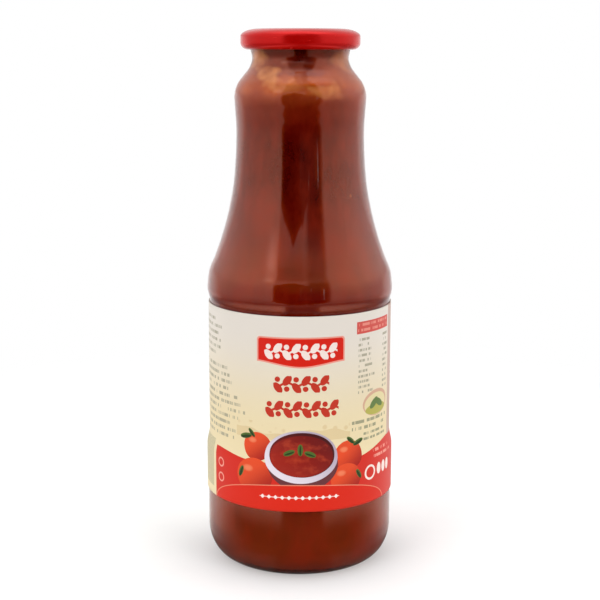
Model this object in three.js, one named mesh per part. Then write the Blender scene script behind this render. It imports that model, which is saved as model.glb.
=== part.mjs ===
// A glass bottle of tomato passata: clear glass with a waisted neck, a red twist-off lid,
// a wrapped paper label in a shallow panel, and thick passata up to the fill level.
// Millimetres, +Z up. The origin is on the axis, at the level that the bottle stands on.
// The middle of the label faces -Y.

import * as THREE from 'three';

// Driving dimensions of the glass
const RING_RADIUS = 43.9; // lower contact ring, the widest part of the body
const PANEL_RADIUS = 42.65; // label panel, recessed below the ring
const SHOULDER_RADIUS = 43.65; // upper contact ring, above the panel
const WALL = 2.8; // side wall
const NECK_WALL = 2.3; // wall near the mouth
const BASE_WALL = 4; // glass under the passata
const HEEL_THICKENING = 3; // the inner heel starts this much higher

const BEARING_INNER = 30.8; // the flat ring that the bottle stands on
const BEARING_OUTER = 33.5;
const PUSH_UP = 3.6; // rise of the hollow under the base
const HEEL_HEIGHT = 16; // the heel is a quarter of an ellipse

const STEP_LOW = 54.2; // the ring runs into the panel between these heights
const STEP_HIGH = 62.2;
const PANEL_TOP = 124.6; // the panel runs into the upper ring between these heights
const SHOULDER_LOW = 129.8;
const SHOULDER_HIGH = 131.2;

// The shoulder, the waist, the bulge under the lid and the neck, as height and radius
const UPPER_OUTLINE = [
  [SHOULDER_HIGH, SHOULDER_RADIUS],
  [138.2, 42.7],
  [145.2, 39.85],
  [154.2, 36.7],
  [165.2, 33.65],
  [178.2, 31.15],
  [191.2, 29.97],
  [203.6, 29.6],
  [212.2, 30.05],
  [219.7, 30.4],
  [224.7, 28.85],
  [228.2, 26.3],
  [231.8, 23.55],
  [235.7, 22.2],
  [239.4, 22.8],
  [243.2, 23.8],
];
const NECK_TOP = 243.2; // the finish that carries the lid starts here
const FINISH_RADIUS = 23.8;
const BORE_RADIUS = 20.9; // the mouth
const RIM_TOP = 247.7;
const RIM_ROUND = 1.1; // rounding of the rim's edges

// Lid
const LID_TOP = 249.4;
const LID_BOTTOM = 240;
const LID_RADIUS = 27.45;
const LID_WALL = 0.5;
const LID_SHOULDER = 8.6; // how far the rounded edge reaches in and down
const LID_SHOULDER_DROP = 3.5;
const CURL_HEIGHT = 3.1; // the lower edge is rolled in towards the neck
const CURL_DEPTH = 3.6;
const CURL_INSIDE = 0.5; // the small round inside it
const CURL_SWEEP = 230; // degrees, where that round meets the skirt's inside
const PANEL_STEP_RADIUS = 16.6; // the sunk middle of the lid
const PANEL_STEP_WIDTH = 0.9;
const PANEL_SINK = 0.7;
const BUTTON_RADIUS = 10; // the safety button in the middle
const BUTTON_RISE = 0.45;
const BUTTON_SLOPE_WIDTH = 1; // the steep edge of the button
const BUTTON_SLOPE_RISE = 0.27;
const BUTTON_FLAT_RADIUS = 5; // its flat middle

// Label
const LABEL_BOTTOM = 33.7;
const LABEL_TOP = 123.8;
const LABEL_THICKNESS = 0.2;
const LABEL_BACK_GAP = THREE.MathUtils.degToRad(16); // bare glass between its ends, at the back

const FILL_LEVEL = 214;
const GAP = 0.3; // left between pieces that touch
const SEGMENTS = 48; // round each turned piece

function at(radius, height) {
  return new THREE.Vector2(radius, height);
}

/** Points of an elliptical arc. Angles in degrees, 0 outwards and 90 up. */
function arc(radius, height, reach, rise, from, to, steps) {
  const { degToRad } = THREE.MathUtils;
  const clockwise = to < from;
  const curve = new THREE.EllipseCurve(
    radius, height, reach, rise, degToRad(from), degToRad(to), clockwise,
  );
  return curve.getPoints(steps);
}

/** A smooth run from one radius to another between two heights. */
function sRun(radiusA, radiusB, low, high, steps) {
  const points = [];
  for (let i = 0; i <= steps; i += 1) {
    const height = THREE.MathUtils.lerp(low, high, i / steps);
    const share = THREE.MathUtils.smoothstep(height, low, high);
    points.push(at(THREE.MathUtils.lerp(radiusA, radiusB, share), height));
  }
  return points;
}

/** A dome from the axis out to a radius, flat in its middle and at its edge. */
function dome(radius, edgeHeight, rise, steps) {
  const points = [];
  for (let i = 0; i <= steps; i += 1) {
    const share = i / steps;
    const height = edgeHeight + (rise * (1 + Math.cos(Math.PI * share))) / 2;
    points.push(at(radius * share, height));
  }
  return points;
}

/** The curve moved towards the axis side by a distance that runs from one value to another. */
function inset(points, distanceA, distanceB) {
  return points.map((point, i) => {
    const before = points[Math.max(i - 1, 0)];
    const after = points[Math.min(i + 1, points.length - 1)];
    const along = after.clone().sub(before).normalize();
    const distance = THREE.MathUtils.lerp(distanceA, distanceB, i / (points.length - 1));
    return at(point.x - along.y * distance, point.y + along.x * distance);
  });
}

/** Radius of the glass under the label at a height. */
function labelledRadius(height) {
  const share = THREE.MathUtils.smoothstep(height, STEP_LOW, STEP_HIGH);
  return THREE.MathUtils.lerp(RING_RADIUS, PANEL_RADIUS, share);
}

function upperCurve(steps) {
  const knots = UPPER_OUTLINE.map(([height, radius]) => at(radius, height));
  return new THREE.SplineCurve(knots).getPoints(steps);
}

/** The outside of the glass, from the axis under the base to the outer edge of the rim. */
function outerOutline() {
  return [
    ...dome(BEARING_INNER, 0, PUSH_UP, 4),
    ...arc(BEARING_OUTER, HEEL_HEIGHT, RING_RADIUS - BEARING_OUTER, HEEL_HEIGHT, -90, 0, 7),
    ...sRun(RING_RADIUS, PANEL_RADIUS, STEP_LOW, STEP_HIGH, 4),
    ...sRun(PANEL_RADIUS, SHOULDER_RADIUS, PANEL_TOP, SHOULDER_LOW, 4),
    ...upperCurve(19),
    ...arc(FINISH_RADIUS - RIM_ROUND, RIM_TOP - RIM_ROUND, RIM_ROUND, RIM_ROUND, 0, 90, 2),
  ];
}

/** The inside of the glass, from the axis up to the neck, set in by a further clearance. */
function innerOutline(clearance) {
  const heelReach = RING_RADIUS - WALL - BEARING_INNER - clearance;
  const floor = BASE_WALL + clearance;
  const heelTop = HEEL_HEIGHT + HEEL_THICKENING;
  const body = [
    ...sRun(RING_RADIUS, PANEL_RADIUS, STEP_LOW, STEP_HIGH, 3),
    ...sRun(PANEL_RADIUS, SHOULDER_RADIUS, PANEL_TOP, SHOULDER_LOW, 3),
  ];
  const bodyInside = body.map((point) => at(point.x - WALL - clearance, point.y));
  const neck = upperCurve(13);
  neck.pop();
  return [
    ...dome(BEARING_INNER, floor, PUSH_UP, 3),
    ...arc(BEARING_INNER, heelTop, heelReach, heelTop - floor, -90, 0, 5).slice(1),
    ...bodyInside,
    ...inset(neck, WALL + clearance, NECK_WALL + clearance).slice(1),
  ];
}

/** The outline up to a height, closed there by a level line to the axis. */
function filledTo(outline, height) {
  const kept = outline.filter((point) => point.y < height);
  const below = kept[kept.length - 1];
  const above = outline[kept.length];
  const share = (height - below.y) / (above.y - below.y);
  return [...kept, at(THREE.MathUtils.lerp(below.x, above.x, share), height), at(0, height)];
}

function turned(points) {
  const geometry = new THREE.LatheGeometry(points, SEGMENTS);
  geometry.rotateX(Math.PI / 2);
  return geometry;
}

function glassGeometry() {
  const mouth = [
    ...arc(BORE_RADIUS + RIM_ROUND, RIM_TOP - RIM_ROUND, RIM_ROUND, RIM_ROUND, 90, 180, 2),
    at(BORE_RADIUS, NECK_TOP),
  ];
  return turned([...outerOutline(), ...mouth, ...innerOutline(0).reverse()]);
}

function passataGeometry() {
  return turned(filledTo(innerOutline(GAP), FILL_LEVEL));
}

/** The top of the lid from its outer edge in to the axis, at a depth below the surface. */
function lidTop(depth) {
  const top = LID_TOP - depth;
  const sunk = top - PANEL_SINK;
  return [
    at(PANEL_STEP_RADIUS + PANEL_STEP_WIDTH, top),
    at(PANEL_STEP_RADIUS, sunk),
    at(BUTTON_RADIUS + BUTTON_SLOPE_WIDTH, sunk),
    at(BUTTON_RADIUS, sunk + BUTTON_SLOPE_RISE),
    at(BUTTON_FLAT_RADIUS, sunk + BUTTON_RISE),
    at(0, sunk + BUTTON_RISE),
  ];
}

function lidGeometry() {
  const corner = LID_RADIUS - LID_SHOULDER;
  const drop = LID_TOP - LID_SHOULDER_DROP;
  const outer = arc(corner, drop, LID_SHOULDER, LID_SHOULDER_DROP, 0, 90, 5);
  const inner = arc(
    corner, drop, LID_SHOULDER - LID_WALL, LID_SHOULDER_DROP - LID_WALL, 90, 0, 4,
  );
  const curlRadius = LID_RADIUS - CURL_DEPTH;
  const curl = [
    ...arc(curlRadius, LID_BOTTOM + CURL_INSIDE, CURL_INSIDE, CURL_INSIDE, -CURL_SWEEP, -90, 4),
    ...arc(curlRadius, LID_BOTTOM + CURL_HEIGHT, CURL_DEPTH, CURL_HEIGHT, -90, 0, 4).slice(1),
  ];
  const inside = lidTop(LID_WALL).reverse();
  return turned([...inside, ...inner, ...curl, ...outer, ...lidTop(0)]);
}

/** The label: a sheet bent round the bottle, with rows of points where the glass changes. */
function labelGeometry() {
  const rows = [LABEL_BOTTOM];
  rows.push(...sRun(0, 1, STEP_LOW, STEP_HIGH, 4).map((point) => point.y));
  rows.push(LABEL_TOP);
  const inner = RING_RADIUS + GAP;
  const start = Math.PI / 2 + LABEL_BACK_GAP / 2;
  const end = start + 2 * Math.PI - LABEL_BACK_GAP;
  const sector = new THREE.Shape();
  sector.absarc(0, 0, inner + LABEL_THICKNESS, start, end, false);
  sector.absarc(0, 0, inner, end, start, true);
  const geometry = new THREE.ExtrudeGeometry(sector, {
    depth: rows.length - 1,
    steps: rows.length - 1,
    bevelEnabled: false,
    curveSegments: SEGMENTS / 2,
  });
  const position = geometry.getAttribute('position');
  for (let i = 0; i < position.count; i += 1) {
    const height = rows[Math.round(position.getZ(i))];
    const radius = Math.hypot(position.getX(i), position.getY(i));
    const scale = (radius + labelledRadius(height) - RING_RADIUS) / radius;
    position.setXYZ(i, position.getX(i) * scale, position.getY(i) * scale, height);
  }
  geometry.computeVertexNormals();
  return geometry;
}

const glass = new THREE.MeshStandardMaterial({
  color: 0xdfe9e4,
  roughness: 0.05,
  metalness: 0,
  transparent: true,
  opacity: 0.3,
});
const passata = new THREE.MeshStandardMaterial({ color: 0x7a1c10, roughness: 0.5, metalness: 0 });
const lacquer = new THREE.MeshStandardMaterial({ color: 0xb81414, roughness: 0.3, metalness: 0.1 });
const paper = new THREE.MeshStandardMaterial({ color: 0xe6dcc0, roughness: 0.55, metalness: 0 });

function piece(name, geometry, material) {
  const mesh = new THREE.Mesh(geometry, material);
  mesh.name = name;
  return mesh;
}

const bottle = new THREE.Group();
bottle.add(piece('bottle_glass', glassGeometry(), glass));
bottle.add(piece('passata', passataGeometry(), passata));
bottle.add(piece('lid', lidGeometry(), lacquer));
bottle.add(piece('label', labelGeometry(), paper));

export default bottle;
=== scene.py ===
"""The looks of a glass bottle of tomato passata, built round its solids.

The bottle's own dimensions are millimetres. The camera, the lamps, the floor and the depths of bumps are
metres, and noise is measured in waves to the metre. +Z is up, and the middle of the label faces -Y.
"""

import math

import bpy
import numpy as np
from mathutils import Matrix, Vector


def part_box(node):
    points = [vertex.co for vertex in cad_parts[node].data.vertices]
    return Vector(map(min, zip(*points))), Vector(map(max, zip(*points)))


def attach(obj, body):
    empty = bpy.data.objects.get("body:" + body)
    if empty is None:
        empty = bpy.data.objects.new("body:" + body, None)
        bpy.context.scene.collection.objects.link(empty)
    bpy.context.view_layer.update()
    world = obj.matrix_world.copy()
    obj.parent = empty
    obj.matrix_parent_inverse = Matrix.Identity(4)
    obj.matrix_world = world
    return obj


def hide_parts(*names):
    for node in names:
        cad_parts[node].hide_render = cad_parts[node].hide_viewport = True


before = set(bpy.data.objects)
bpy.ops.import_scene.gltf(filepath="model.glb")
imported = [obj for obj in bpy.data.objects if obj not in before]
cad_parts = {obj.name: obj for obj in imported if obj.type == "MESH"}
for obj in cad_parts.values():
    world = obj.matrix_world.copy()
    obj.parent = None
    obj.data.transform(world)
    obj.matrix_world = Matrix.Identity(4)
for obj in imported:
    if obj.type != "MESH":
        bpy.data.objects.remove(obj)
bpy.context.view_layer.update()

MM = 0.001
glass_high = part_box("bottle_glass")[1]
lid_low, lid_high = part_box("lid")
label_low, label_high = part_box("label")
passata_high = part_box("passata")[1]

# The glass, as in its solid
RING_RADIUS = glass_high.x / MM
PANEL_RADIUS = 42.65
SHOULDER_RADIUS = 43.65
WALL = 2.8
NECK_WALL = 2.3
BASE_WALL = 4
HEEL_THICKENING = 3
BEARING_INNER = 30.8
BEARING_OUTER = 33.5
PUSH_UP = 3.6
HEEL_HEIGHT = 16
STEP_LOW, STEP_HIGH = 54.2, 62.2
PANEL_TOP = 124.6
SHOULDER_LOW, SHOULDER_HIGH = 129.8, 131.2
UPPER_OUTLINE = [
    (SHOULDER_HIGH, SHOULDER_RADIUS), (138.2, 42.7), (145.2, 39.85), (154.2, 36.7), (165.2, 33.65),
    (178.2, 31.15), (191.2, 29.97), (203.6, 29.6), (212.2, 30.05), (219.7, 30.4), (224.7, 28.85),
    (228.2, 26.3), (231.8, 23.55), (235.7, 22.2), (239.4, 22.8), (243.2, 23.8),
]
NECK_TOP = 243.2
FINISH_RADIUS = 23.8
BORE_RADIUS = 20.9
RIM_TOP = glass_high.z / MM
RIM_ROUND = 1.1

# The lid, as in its solid
LID_TOP = lid_high.z / MM
LID_BOTTOM = lid_low.z / MM
LID_RADIUS = lid_high.x / MM
LID_WALL = 0.5
LID_SHOULDER, LID_SHOULDER_DROP = 8.6, 3.5
CURL_HEIGHT, CURL_DEPTH, CURL_INSIDE = 3.1, 3.6, 0.5
CURL_SWEEP = 230
PANEL_STEP_RADIUS, PANEL_STEP_WIDTH, PANEL_SINK = 16.6, 0.9, 0.7
BUTTON_RADIUS, BUTTON_RISE = 10, 0.45
BUTTON_SLOPE_WIDTH, BUTTON_SLOPE_RISE = 2, 0.27
BUTTON_FLAT_RADIUS = 5

# The sauce, which reaches a little into the glass so that no gap shows
FILL_LEVEL = passata_high.z / MM
SAUCE_OVERLAP = 0.12
FILM_THICKNESS = 0.25
FILM_TOP = NECK_TOP - 1
SURFACE_RIM = [(1.2, 0.5), (4, 0.8)]  # how the sauce's surface falls off from the film: inwards, down

# The sauce's colour against the glass by height, partly its own tone and partly painted light and shade.
# Painted shade makes it deep in the waist, at the shoulder ring and in the neck under the lid. Lower down
# it is brown and, like just above the ring, lighter with painted light; in the film it is orange, with
# painted light shining through
COLOUR_TOP = 250
SAUCE_COLOURS_AND_SHADE = [
    (0, (0.140, 0.0135, 0.0012)), (60, (0.140, 0.0135, 0.0012)), (122, (0.115, 0.0022, 0.0003)),
    (132, (0.118, 0.0020, 0.0003)), (138, (0.150, 0.0160, 0.0020)), (146, (0.125, 0.0120, 0.0015)),
    (156, (0.092, 0.0030, 0.0003)), (168, (0.086, 0.0016, 0.0003)), (178, (0.056, 0.0004, 0.0002)),
    (196, (0.056, 0.0004, 0.0002)), (206, (0.086, 0.0012, 0.0003)), (214, (0.140, 0.0080, 0.0012)),
    (219, (0.240, 0.0280, 0.0050)), (223, (0.430, 0.0800, 0.0100)), (228, (0.400, 0.0760, 0.0100)),
    (231, (0.200, 0.0240, 0.0050)), (234, (0.060, 0.0015, 0.0006)), (250, (0.035, 0.0006, 0.0004)),
]
CLOUD = (0.230, 0.0130, 0.0030, 1)
STREAK = (0.055, 0.0010, 0.0003, 1)
PULP = (0.22, 0.010, 0.002, 1)
PALE_SPECK = (0.36, 0.12, 0.04, 1)
DARK_SPECK = (0.03, 0.003, 0.001, 1)
# the orange of a thin film, with painted light shining through it
THIN_FILM_AND_LIGHT = (0.74, 0.30, 0.09, 1)
SAUCE_GLOSS = (1.0, 0.16, 0.012, 1)
# Thin places in the film, pale with painted light through them: degrees round, height, half-width in
# degrees, half-height, slant, strength
THIN_LIT_SMEARS = [
    (-42, 229.0, 34, 4.2, -0.16, 0.95), (-66, 236.0, 30, 6.0, 0.0, 0.9), (22, 221.5, 24, 3.4, -0.06, 0.55),
    (66, 234.5, 30, 6.5, 0.0, 0.6), (-20, 224.5, 22, 3.0, -0.1, 0.35), (150, 231, 34, 4.0, 0.08, 0.7),
    (-125, 228, 26, 3.4, -0.06, 0.6), (105, 224, 30, 3.0, 0.05, 0.4),
]

# The label. Its outside is where its solid's is, and its inside is closer to the glass
LABEL_BOTTOM = label_low.z / MM
LABEL_TOP = label_high.z / MM
LABEL_THICKNESS = 0.42
LABEL_CLEARANCE = 0.08
LABEL_BACK_GAP = math.radians(16)
LABEL_COLUMNS, LABEL_ROWS = 360, 90

# Other colours, as a shader takes them
GLASS_TINT = (0.97, 0.99, 0.98, 1)
GLASS_SHADOW = (0.93, 0.95, 0.94, 1)
LID_RED = (0.62, 0.003, 0.002, 1)
LID_SCUFF = (0.68, 0.016, 0.012, 1)
FLOOR_PALE = (0.96, 0.96, 0.96, 1)
FLOOR_GRAIN = (0.99, 0.99, 0.99, 1)

# The camera that took the photograph
CAMERA_DISTANCE = 0.6213
CAMERA_HEIGHT = 0.2405
CAMERA_SIDE = 0.0001
CAMERA_PITCH = math.radians(10.68)
CAMERA_ROLL = math.radians(0.145)
CAMERA_LENS_MM = 80

# The floor, and its painted shades as gloss and glass mirror them: dark in front, dim by the foot and far
# away
FLOOR_RADIUS, FLOOR_FADE, FLOOR_SIDES = 0.45, 0.20, 96
MIRRORED_FRONT_SHADE = (0.05, 0.05, 0.05, 1)
MIRRORED_SIDES = (0.95, 0.95, 0.93, 1)
MIRRORED_FOOT_SHADE = (0.22, 0.22, 0.21, 1)
MIRRORED_FAR_SHADE = (0.20, 0.20, 0.20, 1)
FRONT_LEFT, FRONT_RIGHT = (-15, -21), (22, 28)  # edges of the dark strip in front, in degrees round

# The lamps, in degrees round from the front to either side and degrees up
LAMP_SIZE, LAMP_DISTANCE = 0.9, 1.4
LAMP_AROUND, LAMP_UP = 45, 16
LAMP_BRIGHTNESS = 2.62

# The surroundings that gloss and glass mirror: two side lights start between these degrees round
GAP_LEFT, GAP_RIGHT = (31, 35), (34, 42)
LEFT_BRIGHTNESS, RIGHT_BRIGHTNESS = 0.95, 0.84
OVERHEAD = 0.82

SEGMENTS = 160  # round each turned piece


def arc(radius, height, reach, rise, start, end, steps):
    """Points of an elliptical arc. Angles in degrees, 0 outwards and 90 up."""
    angles = np.radians(np.linspace(start, end, steps + 1))
    return np.stack([radius + reach * np.cos(angles), height + rise * np.sin(angles)], axis=1)


def smooth(share):
    share = np.clip(share, 0, 1)
    return share * share * (3 - 2 * share)


def s_run(radius_a, radius_b, low, high, steps):
    """A smooth run from one radius to another between two heights."""
    heights = np.linspace(low, high, steps + 1)
    share = smooth((heights - low) / (high - low))
    return np.stack([radius_a + (radius_b - radius_a) * share, heights], axis=1)


def dome(radius, edge_height, rise, steps):
    """A dome from the axis out to a radius, flat in its middle and at its edge."""
    share = np.linspace(0, 1, steps + 1)
    heights = edge_height + rise * (1 + np.cos(np.pi * share)) / 2
    return np.stack([radius * share, heights], axis=1)


def upper_curve(steps):
    """The shoulder, waist, bulge and neck: a smooth curve through the points of UPPER_OUTLINE."""
    knots = np.array([(radius, height) for height, radius in UPPER_OUTLINE])
    padded = np.concatenate([knots[:1], knots, knots[-1:]])
    points = []
    for place in np.linspace(0, len(knots) - 1, steps + 1):
        i = min(int(place), len(knots) - 2)
        t = place - i
        before, a, b, after = padded[i:i + 4]
        slope_a = (b - before) / 2
        slope_b = (after - a) / 2
        points.append(
            (2 * a - 2 * b + slope_a + slope_b) * t ** 3
            + (-3 * a + 3 * b - 2 * slope_a - slope_b) * t ** 2
            + slope_a * t
            + a
        )
    return np.array(points)


def inset(points, distance_a, distance_b):
    """The curve moved towards the axis by a distance that runs from one value to another."""
    along = np.gradient(points, axis=0)
    along /= np.linalg.norm(along, axis=1)[:, None]
    distance = np.linspace(distance_a, distance_b, len(points))[:, None]
    return points + np.stack([-along[:, 1], along[:, 0]], axis=1) * distance


def outer_outline():
    """The outside of the glass, from the axis under the base to the outer edge of the rim."""
    return np.concatenate([
        dome(BEARING_INNER, 0, PUSH_UP, 24),
        arc(BEARING_OUTER, HEEL_HEIGHT, RING_RADIUS - BEARING_OUTER, HEEL_HEIGHT, -90, 0, 28),
        s_run(RING_RADIUS, PANEL_RADIUS, STEP_LOW, STEP_HIGH, 16),
        s_run(PANEL_RADIUS, SHOULDER_RADIUS, PANEL_TOP, SHOULDER_LOW, 14),
        upper_curve(150),
        arc(FINISH_RADIUS - RIM_ROUND, RIM_TOP - RIM_ROUND, RIM_ROUND, RIM_ROUND, 0, 90, 8),
    ])


def inner_outline(clearance):
    """The inside of the glass, from the axis up to the neck, set in by a further clearance."""
    floor = BASE_WALL + clearance
    heel_top = HEEL_HEIGHT + HEEL_THICKENING
    heel_reach = RING_RADIUS - WALL - BEARING_INNER - clearance
    body = np.concatenate([
        s_run(RING_RADIUS, PANEL_RADIUS, STEP_LOW, STEP_HIGH, 12),
        s_run(PANEL_RADIUS, SHOULDER_RADIUS, PANEL_TOP, SHOULDER_LOW, 10),
    ])
    return np.concatenate([
        dome(BEARING_INNER, floor, PUSH_UP, 20),
        arc(BEARING_INNER, heel_top, heel_reach, heel_top - floor, -90, 0, 24)[1:],
        body - [WALL + clearance, 0],
        inset(upper_curve(120)[:-2], WALL + clearance, NECK_WALL + clearance)[1:],
    ])


def between(outline, low, high):
    """The stretch of an outline between two heights, with a point on each."""
    start = np.array([[np.interp(low, outline[:, 1], outline[:, 0]), low]])
    end = np.array([[np.interp(high, outline[:, 1], outline[:, 0]), high]])
    inside = (outline[:, 1] > low) & (outline[:, 1] < high)
    return np.concatenate([start, outline[inside], end])


def add_mesh(name, points_mm, faces):
    mesh = bpy.data.meshes.new(name)
    mesh.from_pydata((np.asarray(points_mm) * MM).tolist(), [], faces)
    mesh.validate()
    mesh.shade_smooth()
    piece = bpy.data.objects.new(name, mesh)
    bpy.context.scene.collection.objects.link(piece)
    return piece


def turned(name, outline):
    """A closed mesh: an outline in mm that runs from the axis back to it, turned about Z."""
    angles = np.linspace(0, 2 * math.pi, SEGMENTS, endpoint=False)
    points, rings = [], []
    for radius, height in outline:
        if radius < 1e-6:
            rings.append([len(points)] * SEGMENTS)
            points.append((0, 0, height))
            continue
        rings.append(list(range(len(points), len(points) + SEGMENTS)))
        points.extend((radius * math.cos(a), radius * math.sin(a), height) for a in angles)
    faces = []
    for below, above in zip(rings, rings[1:]):
        for j in range(SEGMENTS):
            k = (j + 1) % SEGMENTS
            corners = [below[j], below[k], above[k], above[j]]
            face = [c for n, c in enumerate(corners) if c != corners[n - 1]]
            if len(face) > 2:
                faces.append(face)
    return add_mesh(name, points, faces)


def colour(red, green, blue):
    """An sRGB colour of 0 to 255 as the linear one that a shader takes."""
    def linear(value):
        value /= 255
        return value / 12.92 if value <= 0.04045 else ((value + 0.055) / 1.055) ** 2.4
    return (linear(red), linear(green), linear(blue), 1)


class Field:
    """A number that varies over a surface. Arithmetic on it adds Math nodes."""

    def __init__(self, tree, socket):
        self.tree = tree
        self.socket = socket

    def apply(self, operation, *others):
        node = self.tree.nodes.new("ShaderNodeMath")
        node.operation = operation
        for slot, value in zip(node.inputs, (self, *others)):
            if isinstance(value, Field):
                self.tree.links.new(value.socket, slot)
            else:
                slot.default_value = value
        return Field(self.tree, node.outputs[0])

    def __add__(self, other):
        return self.apply("ADD", other)

    def __sub__(self, other):
        return self.apply("SUBTRACT", other)

    def __mul__(self, other):
        return self.apply("MULTIPLY", other)

    def __truediv__(self, other):
        return self.apply("DIVIDE", other)

    def __lt__(self, other):
        return self.apply("LESS_THAN", other)

    def __gt__(self, other):
        return self.apply("GREATER_THAN", other)

    def __abs__(self):
        return self.apply("ABSOLUTE")

    def floor(self):
        return self.apply("FLOOR")

    def share(self):
        return self.apply("FRACT")

    def either(self, other):
        return self.apply("MAXIMUM", other)

    def inverse(self):
        return self.apply("MULTIPLY", -1) + 1

    def ramp(self, low, high):
        """A smooth run from 0 to 1 between two values, or from 1 to 0 where the first is the larger."""
        node = self.tree.nodes.new("ShaderNodeMapRange")
        node.interpolation_type = "SMOOTHSTEP"
        self.tree.links.new(self.socket, node.inputs["Value"])
        node.inputs["From Min"].default_value = low
        node.inputs["From Max"].default_value = high
        return Field(self.tree, node.outputs["Result"])

    def bell(self, middle, half):
        """1 at the middle, falling smoothly to 0 at a distance from it."""
        return abs(self - middle).ramp(half, 0.0)


def degrees_round(x, y):
    """Degrees round the axis from the front, right positive."""
    return x.apply("ARCTAN2", y * -1) * math.degrees(1)


class Shader:
    """A material's node tree, with short ways to add what the materials here use."""

    def __init__(self, name):
        self.material = bpy.data.materials.new(name)
        self.material.use_nodes = True
        self.tree = self.material.node_tree
        self.tree.nodes.clear()
        self.output = self.node("OutputMaterial")
        self.places = self.node("TexCoord").outputs["Object"]

    def node(self, kind, **values):
        node = self.tree.nodes.new("ShaderNode" + kind)
        for name, value in values.items():
            setattr(node, name, value)
        return node

    def link(self, source, socket):
        self.tree.links.new(source.socket if isinstance(source, Field) else source, socket)

    def set(self, node, **values):
        """Sets or links inputs, named with _ for each space."""
        for name, value in values.items():
            socket = node.inputs[name.replace("_", " ")]
            if isinstance(value, (Field, bpy.types.NodeSocket)):
                self.link(value, socket)
            else:
                socket.default_value = value
        return node

    def noise(self, scale, detail=2.0, roughness=0.5, stretch=(1, 1, 1)):
        """Noise at a scale in waves to the metre, from 0 to 1."""
        mapping = self.node("Mapping")
        self.link(self.places, mapping.inputs["Vector"])
        mapping.inputs["Scale"].default_value = stretch
        noise = self.set(self.node("TexNoise"), Scale=scale, Detail=detail, Roughness=roughness)
        self.link(mapping.outputs[0], noise.inputs["Vector"])
        return Field(self.tree, noise.outputs["Fac"])

    def remap(self, field, low, high, to_low=0.0, to_high=1.0, smooth_ends=False):
        node = self.node("MapRange", clamp=True)
        if smooth_ends:
            node.interpolation_type = "SMOOTHSTEP"
        self.link(field, node.inputs["Value"])
        for slot, value in zip(("From Min", "From Max", "To Min", "To Max"), (low, high, to_low, to_high)):
            node.inputs[slot].default_value = value
        return Field(self.tree, node.outputs["Result"])

    def mix(self, factor, a, b):
        """A colour between two, each a colour or a socket."""
        node = self.node("Mix", data_type="RGBA")
        factor_slot, a_slot, b_slot = node.inputs[0], node.inputs[6], node.inputs[7]
        for slot, value in ((factor_slot, factor), (a_slot, a), (b_slot, b)):
            if isinstance(value, (Field, bpy.types.NodeSocket)):
                self.link(value, slot)
            else:
                slot.default_value = value
        return node.outputs[2]

    def bump(self, height, strength, distance):
        node = self.set(self.node("Bump"), Strength=strength, Distance=distance)
        self.link(height, node.inputs["Height"])
        return node.outputs["Normal"]

    def axes(self):
        parts = self.node("SeparateXYZ")
        self.link(self.places, parts.inputs[0])
        return [Field(self.tree, parts.outputs[i]) for i in range(3)]

    def surface(self, shader_node):
        self.link(shader_node.outputs[0], self.output.inputs["Surface"])
        return self.material


def glass_material():
    """Clear glass. Shadow and diffuse rays pass straight through, so that light reaches the sauce."""
    s = Shader("clear_glass")
    waves = s.noise(38, detail=1, stretch=(1, 1, 0.45))
    glass = s.set(
        s.node("BsdfPrincipled"), Base_Color=GLASS_TINT, Roughness=0.02, IOR=1.5,
        Transmission_Weight=1.0, Normal=s.bump(waves, 0.8, 0.0006),
    )
    clear = s.node("BsdfTransparent")
    clear.inputs["Color"].default_value = GLASS_SHADOW
    path = s.node("LightPath")
    straight = Field(s.tree, path.outputs["Is Shadow Ray"]).either(
        Field(s.tree, path.outputs["Is Diffuse Ray"])
    )
    mixed = s.node("MixShader")
    s.link(straight, mixed.inputs[0])
    s.link(glass.outputs[0], mixed.inputs[1])
    s.link(clear.outputs[0], mixed.inputs[2])
    return s.surface(mixed)


def sauce_colour_and_light(s):
    """The sauce's colour by height with painted light and shade in its steps, uneven borders, soft clouds,
    and pale smears of painted light on thin places in the film.
    """
    x, y, z = s.axes()
    height = z / MM
    drift = s.remap(s.noise(42, detail=4, roughness=0.6, stretch=(1, 1, 0.7)), 0.25, 0.75, -4.5, 4.5)
    tones_and_shade = s.node("ValToRGB")
    s.link((height + drift * height.ramp(246.0, 225.0)) / COLOUR_TOP, tones_and_shade.inputs[0])
    ramp = tones_and_shade.color_ramp
    ramp.interpolation = "EASE"
    ramp.elements.remove(ramp.elements[-1])
    for place, tone in SAUCE_COLOURS_AND_SHADE:
        stop = ramp.elements[0] if place == 0 else ramp.elements.new(place / COLOUR_TOP)
        stop.color = (*tone, 1)
    clouds = s.remap(s.noise(85, detail=5, roughness=0.62, stretch=(1, 1, 0.5)), 0.42, 0.66)
    base = s.mix(clouds * 0.55, tones_and_shade.outputs[0], CLOUD)
    streaks = s.remap(s.noise(120, detail=4, stretch=(1, 1, 0.25)), 0.55, 0.75)
    base = s.mix(streaks * 0.34, base, STREAK)
    warp = s.remap(s.noise(110, detail=3), 0.25, 0.75, -2.2, 2.2)
    around = degrees_round(x, y) + warp * 4
    uneven = s.remap(s.noise(210, detail=4, stretch=(1, 1, 0.6)), 0.3, 0.7, 0.45, 1.1)
    # pale smears: thin places in the film, made pale with painted light
    thin_and_lit = None
    for middle, level, half_width, half_height, slant, strength in THIN_LIT_SMEARS:
        away = around - middle
        across = away / half_width
        above = (height + warp - level - away * slant) / half_height
        patch = (across * across + above * above).ramp(1.15, -0.2) * strength
        thin_and_lit = patch if thin_and_lit is None else thin_and_lit.either(patch)
    return s.mix(thin_and_lit * uneven, base, THIN_FILM_AND_LIGHT)


def specks(s, scale, share, size):
    """Sparse round specks: one in some of the cells of a lattice."""
    cells = s.set(s.node("TexVoronoi"), Scale=scale, Randomness=1.0)
    s.link(s.places, cells.inputs["Vector"])
    picked = s.node("SeparateColor")
    s.link(cells.outputs["Color"], picked.inputs[0])
    chosen = Field(s.tree, picked.outputs[0]) < share
    return Field(s.tree, cells.outputs["Distance"]).ramp(size, size * 0.5) * chosen


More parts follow.
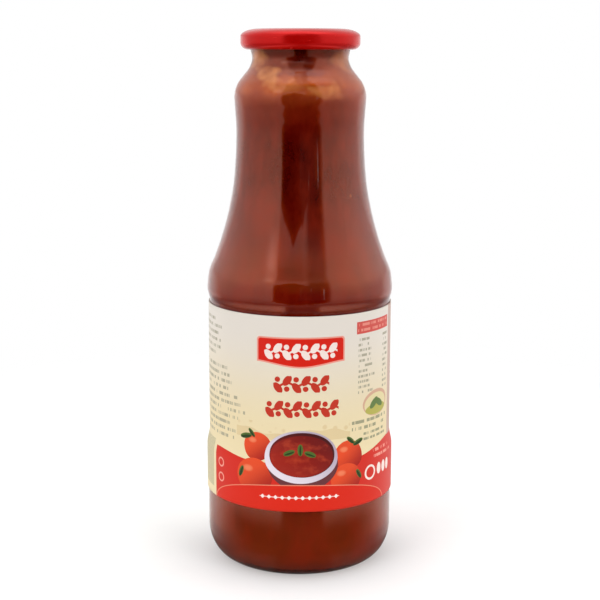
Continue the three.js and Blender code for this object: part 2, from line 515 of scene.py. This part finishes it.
def passata_material():
    """Thick sauce against the glass, with soft clouds, fine pulp, and a few pale and dark specks.

    Its gloss is strong and tinted red, to match the photograph.
    """
    s = Shader("passata")
    pulp = s.remap(s.noise(520, detail=3), 0.35, 0.75)
    base = sauce_colour_and_light(s)
    base = s.mix(pulp * 0.10, base, PULP)
    base = s.mix(specks(s, 95, 0.10, 0.085) * 0.5, base, PALE_SPECK)
    base = s.mix(specks(s, 70, 0.05, 0.075) * 0.75, base, DARK_SPECK)
    sauce = s.set(
        s.node("BsdfPrincipled"), Base_Color=base, Roughness=0.12, IOR=2.25,
        Specular_Tint=SAUCE_GLOSS, Normal=s.bump(pulp, 0.06, 0.0002),
    )
    return s.surface(sauce)


def lid_material():
    """Red lacquer over tinplate, with fine orange peel and a few scuffs."""
    s = Shader("lid_lacquer")
    peel = s.noise(900, detail=2)
    scuffs = s.remap(s.noise(160, detail=5, stretch=(1, 1, 3)), 0.62, 0.72)
    base = s.mix(scuffs * 0.3, LID_RED, LID_SCUFF)
    lacquer = s.set(
        s.node("BsdfPrincipled"), Base_Color=base, Roughness=s.remap(scuffs, 0, 1, 0.20, 0.32),
        Metallic=0.42, Specular_IOR_Level=0.35, Normal=s.bump(peel, 0.08, 0.0002),
    )
    return s.surface(lacquer)


class Print:
    """The label's print, in millimetres: u round from the middle to the right, v up from its lower edge."""

    def __init__(self, shader):
        self.s = shader
        x, y, z = shader.axes()
        around = x.apply("ARCTAN2", y * -1)
        self.u = around * PANEL_RADIUS
        self.v = z / MM - LABEL_BOTTOM
        self.paint = None

    def fill(self, mask, ink):
        self.paint = self.s.mix(mask, self.paint, ink)

    def box(self, left, right, low, high):
        across = abs(self.u - (left + right) / 2) < (right - left) / 2
        return across * (abs(self.v - (low + high) / 2) < (high - low) / 2)

    def round_box(self, left, right, low, high, corner):
        """A box with rounded corners, by the distance from its core."""
        du = (abs(self.u - (left + right) / 2) - ((right - left) / 2 - corner)).either(0.0)
        dv = (abs(self.v - (low + high) / 2) - ((high - low) / 2 - corner)).either(0.0)
        return (du * du + dv * dv) < corner * corner

    def oval(self, u, v, half_u, half_v, tilt=0.0):
        du, dv = self.u - u, self.v - v
        if tilt:
            c, si = math.cos(math.radians(tilt)), math.sin(math.radians(tilt))
            du, dv = du * c + dv * si, dv * c - du * si
        du, dv = du / half_u, dv / half_v
        return (du * du + dv * dv) < 1.0

    def random(self, a, b):
        """Even random numbers from two fields."""
        both = self.s.node("CombineXYZ")
        self.s.link(a, both.inputs[0])
        self.s.link(b, both.inputs[1])
        noise = self.s.node("TexWhiteNoise", noise_dimensions="2D")
        self.s.link(both.outputs[0], noise.inputs["Vector"])
        return Field(self.s.tree, noise.outputs["Value"])

    def small_print(self, left, right, low, high, pitch, stroke, ragged, seed=0.0):
        """Rows of broken strokes with gaps and a ragged end, in place of small print, without letters."""
        rows = (self.v - low) / pitch
        row = rows.floor() + seed
        in_stroke = abs(rows.share() - 0.5) < stroke / pitch / 2
        end = self.random(row, row * 0.0) * (-ragged) + right
        gaps = self.random((self.u / 1.7).floor(), row) > 0.14
        stems = self.random((self.u / 0.42).floor(), row + 7.0) > 0.32
        return self.box(left, right, low, high) * in_stroke * gaps * stems * (self.u < end)

    def ring(self, u, v, outer, inner, squeeze=1.0):
        return self.oval(u, v, outer, outer * squeeze) * self.oval(u, v, inner, inner * squeeze).inverse()

    def vine(self, left, right, low, high, count, bold):
        """A wavy stem with leaves to both sides in turn, and a berry across from each leaf."""
        pitch, half = (right - left) / count, (high - low) / 2
        phase = (self.u - left) / pitch
        side = phase.floor().apply("MODULO", 2.0) * 2 - 1
        du = (phase.share() - 0.5) * pitch
        dv = self.v - (low + high) / 2
        stem = abs(dv + (phase * math.pi).apply("SINE") * (0.22 * half)) < bold / 2
        dv = dv * side
        out = dv - half * 0.44
        across, along = (du * 0.80 - out * 0.60) / (half * 0.42), (out * 0.80 + du * 0.60) / (half * 0.72)
        leaf = (across * across + along * along) < 1.0
        below, berry = dv + half * 0.56, du + pitch * 0.05
        berry = (berry * berry + below * below) < (half * 0.32) ** 2
        return self.box(left, right, low, high) * stem.either(leaf).either(berry)

    def ball(self, u, v, size, lit, dark, shine):
        """A shaded round fruit with a soft highlight."""
        du, dv = (self.u - u) / size, (self.v - v) / (size * 0.94)
        shade = (du * 0.55 - dv * 0.70).ramp(-0.5, 1.0)
        self.fill((du * du + dv * dv) < 1.0, self.s.mix(shade, lit, dark))
        du, dv = (du + 0.34) / 0.36, (dv - 0.40) / 0.24
        self.fill((du * du + dv * dv).ramp(1.0, 0.0) * 0.65, shine)

    def leaf(self, u, v, size, tilt, lit, dark):
        self.fill(self.oval(u, v, size, size * 0.40, tilt), lit)
        self.fill(self.oval(u, v - size * 0.12, size * 0.92, size * 0.22, tilt), dark)


def label_material():
    s = Shader("label_paper")
    p = Print(s)
    cream, pale = colour(228, 211, 170), colour(224, 216, 206)
    red, bright_red = colour(206, 38, 22), colour(212, 34, 8)
    title, grey, olive = colour(190, 50, 32), colour(160, 154, 132), colour(138, 140, 112)
    ochre, white, pink = colour(206, 176, 124), colour(240, 222, 214), colour(232, 150, 134)
    height = s.remap(p.v, 34, 86, 0, 1, smooth_ends=True)
    p.paint = s.mix(height, cream, pale)

    # red band along the bottom, a little paler to the right
    top = s.remap(p.u, 20, 58, 22.4, 28.4, smooth_ends=True) + (p.u + 20).ramp(0.0, -24.0) * 2.4
    band = s.mix(p.u.ramp(26.0, 60.0) * 0.35, red, colour(216, 92, 86))
    p.fill((p.u > -45.8) * (p.v < top), band)

    # small print and a striped block on the left
    p.fill(p.small_print(-78, -25, 29.5, 64, 3.2, 1.5, 12, seed=3.0) * 0.85, grey)
    p.fill(p.small_print(-78, -40, 67, 87, 3.2, 1.4, 8, seed=40.0) * 0.85, grey)
    stripes = ((p.u / 1.3).share() < 0.6) * p.box(-78, -48, 4, 27)
    p.fill(stripes * 0.7, olive)

    # panel with a pale outline and an ornament
    sag = p.v + p.u.bell(0.6, 21.0) * 2.5
    p.fill(p.round_box(-19.6, 20.8, 65.0, 80.7, 1.6) * (sag > 69.2), pink)
    p.fill(p.round_box(-18.9, 20.1, 65.6, 80.0, 1.2) * (sag > 69.9), colour(210, 28, 8))
    p.fill(p.vine(-16.0, 17.2, 70.5, 77.9, 8, 0.9), white)

    # two rows of ornament in dull red
    p.fill(p.vine(-11.8, 13.4, 55.4, 63.2, 6, 1.2), title)
    p.fill(p.vine(-15.6, 18.0, 43.8, 51.6, 8, 1.2), title)

    # faint hills with round trees
    hills = (p.u / 6.5).apply("SINE") * 1.2 + (p.u / 2.1).apply("SINE") * 0.5 + 37.0
    crowns = specks(s, 270, 0.75, 0.40) * p.box(-31, 24, 36.4, 41.2)
    p.fill((p.box(-31, 24, 33, 38.8) * (p.v < hills)).either(crowns) * 0.42, ochre)

    # tomatoes and leaves behind a bowl of sauce
    lit, dark, shine = colour(222, 74, 34), colour(160, 26, 16), colour(238, 142, 100)
    green, deep_green = colour(78, 104, 44), colour(40, 62, 28)
    p.ball(-19.6, 29.4, 7.0, lit, dark, shine)
    p.ball(23.2, 25.0, 7.2, lit, dark, shine)
    p.ball(-20.8, 15.6, 8.8, lit, dark, shine)
    p.ball(21.6, 14.2, 7.6, lit, dark, shine)
    for u, v, size, tilt in (
        (-25.5, 33.6, 3.2, 12), (-22.4, 35.4, 2.4, -50), (28.6, 30.2, 3.0, 20), (24.4, 31.6, 2.6, -40),
        (-27.4, 16.8, 2.8, 70), (28.2, 15.4, 2.6, -60),
    ):
        p.leaf(u, v, size, tilt, green, deep_green)
    p.fill(p.oval(1.6, 22.2, 15.8, 12.2), colour(104, 52, 56))
    slope = (p.u * 0.035 + (p.v - 25.6) * 0.04).ramp(-0.7, 0.8)
    p.fill(p.oval(0.8, 25.6, 16.6, 12.2), s.mix(slope, colour(222, 212, 222), colour(176, 160, 178)))
    p.fill(p.oval(1.2, 26.6, 14.8, 10.3), s.mix(slope, colour(112, 24, 20), colour(70, 20, 22)))
    p.fill(p.oval(1.0, 26.0, 14.2, 9.5), s.mix(slope, colour(156, 34, 20), colour(108, 16, 14)))
    swirl = s.noise(170, detail=3, stretch=(1, 1, 1.6))
    p.fill(p.oval(1.0, 26.0, 13.6, 8.9) * s.remap(swirl, 0.5, 0.68) * 0.5, colour(188, 66, 36))
    for u, v, turn in ((-4.6, 27.4, 20), (0.4, 28.8, 90), (4.8, 26.8, 160)):
        p.fill(p.oval(u, v, 2.7, 1.25, turn), green)
        p.fill(p.oval(u, v - 0.3, 2.3, 0.4, turn), deep_green)

    # the lens along the lower edge, with a fine outline and a row of diamonds on a thin line
    p.fill(p.oval(0, 0, 45.5, 12.8), colour(226, 132, 104))
    p.fill(p.oval(0, 0, 45.0, 12.35), bright_red)
    middle = p.v - 6.6
    across = ((p.u / 3.0).share() - 0.5) * 3.0
    diamonds = (abs(across) / 1.05 + abs(middle)) < 1.0
    p.fill(diamonds.either(abs(middle) < 0.14) * (abs(p.u) < 17.9), white)

    # plain rings on the left of the band
    for v in (17.8, 10.6):
        p.fill(p.ring(-41, v, 2.3, 1.6), pink)

    # table on the right
    p.fill(p.box(27.3, 52.2, 80.4, 86.0), colour(208, 84, 76))
    p.fill(p.small_print(28, 52, 80.8, 85.8, 2.5, 1.2, 1, seed=11.0) * 0.8, pink)
    p.fill(p.small_print(28.3, 40, 52, 79.2, 2.45, 1.2, 5, seed=23.0) * 0.85, grey)
    p.fill(p.small_print(46.4, 52.4, 52, 79.2, 2.45, 1.2, 1.5, seed=31.0) * 0.85, grey)

    # oval badge
    p.fill(p.oval(41.2, 46.6, 9.9, 6.2), colour(208, 166, 140))
    p.fill(p.oval(41.2, 46.0, 8.8, 5.2), colour(222, 208, 160))
    p.fill(p.oval(41.2, 43.6, 8.2, 2.6), colour(178, 172, 84))
    p.fill(p.oval(39.2, 46.6, 3.6, 1.7, 35).either(p.oval(43.4, 46.2, 3.6, 1.6, -30)), colour(98, 122, 66))

    # lines under the badge, and marks on the band
    p.fill(p.small_print(25, 51, 34.8, 40.8, 3.0, 1.5, 3, seed=57.0) * 0.85, olive)
    p.fill(p.small_print(32, 51, 29.4, 34.4, 2.5, 1.2, 5, seed=63.0) * 0.85, olive)
    p.fill(p.small_print(38, 55, 20.2, 25.4, 2.6, 1.3, 1, seed=71.0), pink)
    p.fill(p.ring(35.4, 14.4, 3.6, 2.6), white)
    for u in (42.0, 46.2, 50.4):
        p.fill(p.oval(u, 14.8, 1.6, 2.8), white)

    # painted shade: a plain darker strip at the right end of the front, where the paper turns away; small
    # print beyond it
    p.fill(p.box(53.6, 61.0, 27.8, 95), colour(196, 166, 154))
    p.fill(p.small_print(66, 116, 36, 82, 3.2, 1.5, 14, seed=90.0) * 0.85, grey)
    fibres = s.noise(1500, detail=3)
    paper = s.set(
        s.node("BsdfPrincipled"), Base_Color=p.paint, Roughness=0.5, Specular_IOR_Level=0.25,
        Normal=s.bump(fibres, 0.08, 0.0001),
    )
    return s.surface(paper)


def floor_material():
    """Pale floor that fades out towards its rim. Gloss and glass mirror it dimmer, with painted shade,
    dimmest in front and dim by the foot.
    """
    s = Shader("pale_floor")
    x, y, _ = s.axes()
    far = (x * x + y * y).apply("SQRT")
    grain = s.noise(60, detail=3)
    seen = s.set(s.node("BsdfDiffuse"), Color=s.mix(grain, FLOOR_PALE, FLOOR_GRAIN))
    around = degrees_round(x, y)
    beside = around.ramp(*FRONT_LEFT).either(around.ramp(*FRONT_RIGHT))
    # painted shade as gloss and glass see the floor: a dark strip in front, bright sides and back, dim by
    # the foot and far away
    shade = s.mix(beside * far.ramp(0.10, 0.16), MIRRORED_FRONT_SHADE, MIRRORED_SIDES)
    shade = s.mix(y.ramp(-0.06, 0.05), shade, MIRRORED_SIDES)
    shade = s.mix(far.ramp(0.062, 0.046) * beside, shade, MIRRORED_FOOT_SHADE)
    shade = s.mix(far.ramp(0.12, 0.30), shade, MIRRORED_FAR_SHADE)
    reflected = s.set(s.node("BsdfDiffuse"), Color=shade)
    path = s.node("LightPath")
    plain = Field(s.tree, path.outputs["Is Camera Ray"]).either(
        Field(s.tree, path.outputs["Is Diffuse Ray"])
    )
    chosen = s.node("MixShader")
    s.link(plain, chosen.inputs[0])
    s.link(reflected.outputs[0], chosen.inputs[1])
    s.link(seen.outputs[0], chosen.inputs[2])
    mixed = s.node("MixShader")
    s.link(far.ramp(FLOOR_FADE, FLOOR_RADIUS), mixed.inputs[0])
    s.link(chosen.outputs[0], mixed.inputs[1])
    s.link(s.node("BsdfTransparent").outputs[0], mixed.inputs[2])
    return s.surface(mixed)


def dress(piece, material, slot, *replaced):
    """Gives a piece its material and its place in the frame."""
    piece.data.materials.append(material)
    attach(piece, "root")
    if replaced:
        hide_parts(*replaced)
    return piece


def make_glass():
    mouth = np.concatenate([
        arc(BORE_RADIUS + RIM_ROUND, RIM_TOP - RIM_ROUND, RIM_ROUND, RIM_ROUND, 90, 180, 8),
        [[BORE_RADIUS, NECK_TOP]],
    ])
    outline = np.concatenate([outer_outline(), mouth, inner_outline(0)[::-1]])
    dress(turned("glass_shell", outline), glass_material(), "clear_glass", "bottle_glass")


def make_passata():
    """The sauce and the film of it above the fill, in one piece."""
    wall = inner_outline(-SAUCE_OVERLAP)
    wall = wall[wall[:, 1] < FILM_TOP]
    film = between(inner_outline(FILM_THICKNESS), FILL_LEVEL, FILM_TOP)[::-1]
    radius, height = film[-1]
    surface = [[radius - inwards, height - down] for inwards, down in SURFACE_RIM]
    middle = [[0, surface[-1][1]]]
    outline = np.concatenate([wall, film, surface, middle])
    dress(turned("passata_fill", outline), passata_material(), "passata", "passata")


def lid_top(depth):
    """The top of the lid from its outer edge in to the axis, at a depth below the surface."""
    top = LID_TOP - depth
    sunk = top - PANEL_SINK
    step = s_run(0, 1, 0, 1, 6)
    outer = PANEL_STEP_RADIUS + PANEL_STEP_WIDTH
    into_panel = [(outer - PANEL_STEP_WIDTH * t, top - PANEL_SINK * share) for share, t in step]
    foot = BUTTON_RADIUS + BUTTON_SLOPE_WIDTH / 2
    button = [(foot - BUTTON_SLOPE_WIDTH * t, sunk + BUTTON_SLOPE_RISE * share) for share, t in step]
    middle = [(BUTTON_FLAT_RADIUS, sunk + BUTTON_RISE), (0, sunk + BUTTON_RISE)]
    return np.array(into_panel + button + middle)


def make_lid():
    corner, drop = LID_RADIUS - LID_SHOULDER, LID_TOP - LID_SHOULDER_DROP
    curl = LID_RADIUS - CURL_DEPTH
    outline = np.concatenate([
        lid_top(LID_WALL)[::-1],
        arc(corner, drop, LID_SHOULDER - LID_WALL, LID_SHOULDER_DROP - LID_WALL, 90, 0, 14),
        arc(curl, LID_BOTTOM + CURL_INSIDE, CURL_INSIDE, CURL_INSIDE, -CURL_SWEEP, -90, 14),
        arc(curl, LID_BOTTOM + CURL_HEIGHT, CURL_DEPTH, CURL_HEIGHT, -90, 0, 14)[1:],
        arc(corner, drop, LID_SHOULDER, LID_SHOULDER_DROP, 0, 90, 20),
        lid_top(0),
    ])
    dress(turned("twist_lid", outline), lid_material(), "lid_lacquer", "lid")


def make_label():
    """A paper sheet bent round the bottle, from one side of the gap at the back to the other."""
    columns, rows = LABEL_COLUMNS, LABEL_ROWS
    heights = np.linspace(LABEL_BOTTOM, LABEL_TOP, rows + 1)
    share = smooth((heights - STEP_LOW) / (STEP_HIGH - STEP_LOW))
    under = RING_RADIUS + (PANEL_RADIUS - RING_RADIUS) * share + LABEL_CLEARANCE
    start = math.pi / 2 + LABEL_BACK_GAP / 2
    angles = np.linspace(start, start + 2 * math.pi - LABEL_BACK_GAP, columns + 1)
    layers = []
    for radii in (under, under + LABEL_THICKNESS):
        x = radii[:, None] * np.cos(angles)
        y = radii[:, None] * np.sin(angles)
        z = np.repeat(heights[:, None], columns + 1, axis=1)
        layers.append(np.stack([x, y, z], axis=2).reshape(-1, 3))
    points = np.concatenate(layers)
    size = (rows + 1) * (columns + 1)

    def at(row, column, layer):
        return layer * size + row * (columns + 1) + column

    faces = []
    for r in range(rows):
        for c in range(columns):
            corners = ((r, c), (r, c + 1), (r + 1, c + 1), (r + 1, c))
            faces.append([at(i, j, 1) for i, j in corners])
            faces.append([at(i, j, 0) for i, j in reversed(corners)])
    for c in range(columns):
        faces.append([at(0, c, 0), at(0, c + 1, 0), at(0, c + 1, 1), at(0, c, 1)])
        faces.append([at(rows, c, 1), at(rows, c + 1, 1), at(rows, c + 1, 0), at(rows, c, 0)])
    for r in range(rows):
        faces.append([at(r, 0, 0), at(r, 0, 1), at(r + 1, 0, 1), at(r + 1, 0, 0)])
        faces.append([at(r, columns, 1), at(r, columns, 0), at(r + 1, columns, 0), at(r + 1, columns, 1)])
    dress(add_mesh("paper_label", points, faces), label_material(), "label_paper", "label")


def make_floor():
    """A round pale floor under the bottle."""
    angles = np.linspace(0, 2 * math.pi, FLOOR_SIDES, endpoint=False)
    rim = [(FLOOR_RADIUS * math.cos(a), FLOOR_RADIUS * math.sin(a), 0) for a in angles]
    mesh = bpy.data.meshes.new("floor")
    mesh.from_pydata(rim, [], [list(range(FLOOR_SIDES))])
    floor = bpy.data.objects.new("floor", mesh)
    bpy.context.scene.collection.objects.link(floor)
    floor.data.materials.append(floor_material())


def studio_level(around, up):
    """Brightness of the surroundings, by degrees round from the front, right positive, and degrees up.

    Two tall side lights leave a dark gap in front. A lower ceiling light closes the gap in a taper.
    """
    narrowing = up.ramp(-20.0, -7.0) * 0.55 + 0.45
    spread = around / narrowing
    left = (spread * -1).ramp(*GAP_LEFT)
    right = spread.ramp(*GAP_RIGHT)
    tall = up.ramp(-25.0, 16.0) * 0.68 + 0.30
    farther = around.bell(100.0, 60.0) * 0.36 + RIGHT_BRIGHTNESS
    sides = left * tall * LEFT_BRIGHTNESS + right * tall * farther
    corner = around.bell(-42.0, 12.0) * up.bell(29.0, 11.0) * 0.8

    # the ceiling light: its lower edge comes down to a tip, and a second part fills the right of the gap
    tip = (abs(around + 10.0) * -0.55 + 26.0).either(abs(around - 4.0) * -1.5 + 21.0)
    overlap = (up - tip).ramp(-0.6, 1.4) * around.ramp(15.0, 5.0) * left.inverse()
    gap = right.inverse() * left.inverse()
    ceiling = overlap * (up.ramp(34.0, 28.0) * 0.25 + 0.27)
    ceiling = ceiling + gap * up.ramp(17.0, 30.0) * around.ramp(0.0, 14.0) * up.ramp(48.0, 34.0) * 0.24
    overhead = up.ramp(48.0, 72.0) * OVERHEAD

    # faint light in the gap, narrow bright strips to its right, and two sparks low down
    faint = around.ramp(1.0, 4.0) * right.inverse() * up.ramp(24.0, 18.0) * up.ramp(-8.0, 2.0) * 0.05
    faint = faint + around.bell(1.0, 3.0) * up.bell(4.0, 14.0) * 0.08
    strips = around.bell(30.0, 1.8) * up.bell(3.0, 6.0) * 1.1
    strips = strips + around.bell(14.0, 1.2) * up.bell(6.0, 4.0) * 0.35
    sparks = (around.bell(8.0, 2.2) + around.bell(19.0, 2.0)) * up.bell(-15.5, 1.6) * 1.2

    # bright surroundings behind, dimmer above the level and low down
    behind = abs(around).ramp(95.0, 135.0) * (up.ramp(-24.0, -12.0) * 0.60 + 0.48)
    behind = behind * (up.ramp(8.0, 1.0) * 0.6 + 0.4)
    front = sides + corner + ceiling + faint + strips + sparks + overhead
    return front.either(behind) * (up.ramp(-50.0, -22.0) * 0.7 + 0.3)


def make_world():
    """Soft studio surroundings, plain white where the camera looks straight at them."""
    world = bpy.data.worlds.new("studio")
    bpy.context.scene.world = world
    world.use_nodes = True
    tree = world.node_tree
    tree.nodes.clear()
    parts = tree.nodes.new("ShaderNodeSeparateXYZ")
    tree.links.new(tree.nodes.new("ShaderNodeTexCoord").outputs["Generated"], parts.inputs[0])
    x, y, z = (Field(tree, parts.outputs[i]) for i in range(3))
    up = z.apply("ARCSINE") * math.degrees(1)
    seen = Field(tree, tree.nodes.new("ShaderNodeLightPath").outputs["Is Camera Ray"])
    strength = studio_level(degrees_round(x, y), up) * seen.inverse() + seen
    background = tree.nodes.new("ShaderNodeBackground")
    background.inputs["Color"].default_value = (1, 1, 1, 1)
    tree.links.new(strength.socket, background.inputs["Strength"])
    tree.links.new(background.outputs[0], tree.nodes.new("ShaderNodeOutputWorld").inputs["Surface"])


def make_lamp(name, around):
    """A large soft square lamp aimed at the bottle. It lights but isn't seen, not in reflections either."""
    light = bpy.data.lights.new(name, "AREA")
    light.size = LAMP_SIZE
    light.energy = LAMP_BRIGHTNESS * math.pi * LAMP_SIZE ** 2
    lamp = bpy.data.objects.new(name, light)
    a, e = math.radians(around), math.radians(LAMP_UP)
    aim = np.array([math.sin(a) * math.cos(e), -math.cos(a) * math.cos(e), math.sin(e)])
    lamp.location = aim * LAMP_DISTANCE + np.array([0, 0, RIM_TOP * MM / 2])
    lamp.rotation_euler = (math.pi / 2 - e, 0, a)
    lamp.visible_camera = lamp.visible_glossy = lamp.visible_transmission = False
    bpy.context.scene.collection.objects.link(lamp)


def make_camera():
    camera = bpy.data.objects.new("camera", bpy.data.cameras.new("camera"))
    camera.data.lens = CAMERA_LENS_MM
    camera.data.clip_start = 0.01
    camera.location = (CAMERA_SIDE, -CAMERA_DISTANCE, CAMERA_HEIGHT)
    camera.rotation_euler = (math.pi / 2 - CAMERA_PITCH, 0, 0)
    camera.rotation_euler.rotate_axis("Z", CAMERA_ROLL)
    bpy.context.scene.collection.objects.link(camera)
    bpy.context.scene.camera = camera


make_camera()
make_world()
make_lamp("lamp_left", -LAMP_AROUND)
make_lamp("lamp_right", LAMP_AROUND)
make_floor()
make_glass()
make_passata()
make_lid()
make_label()

bpy.context.scene.view_settings.view_transform = "Standard"
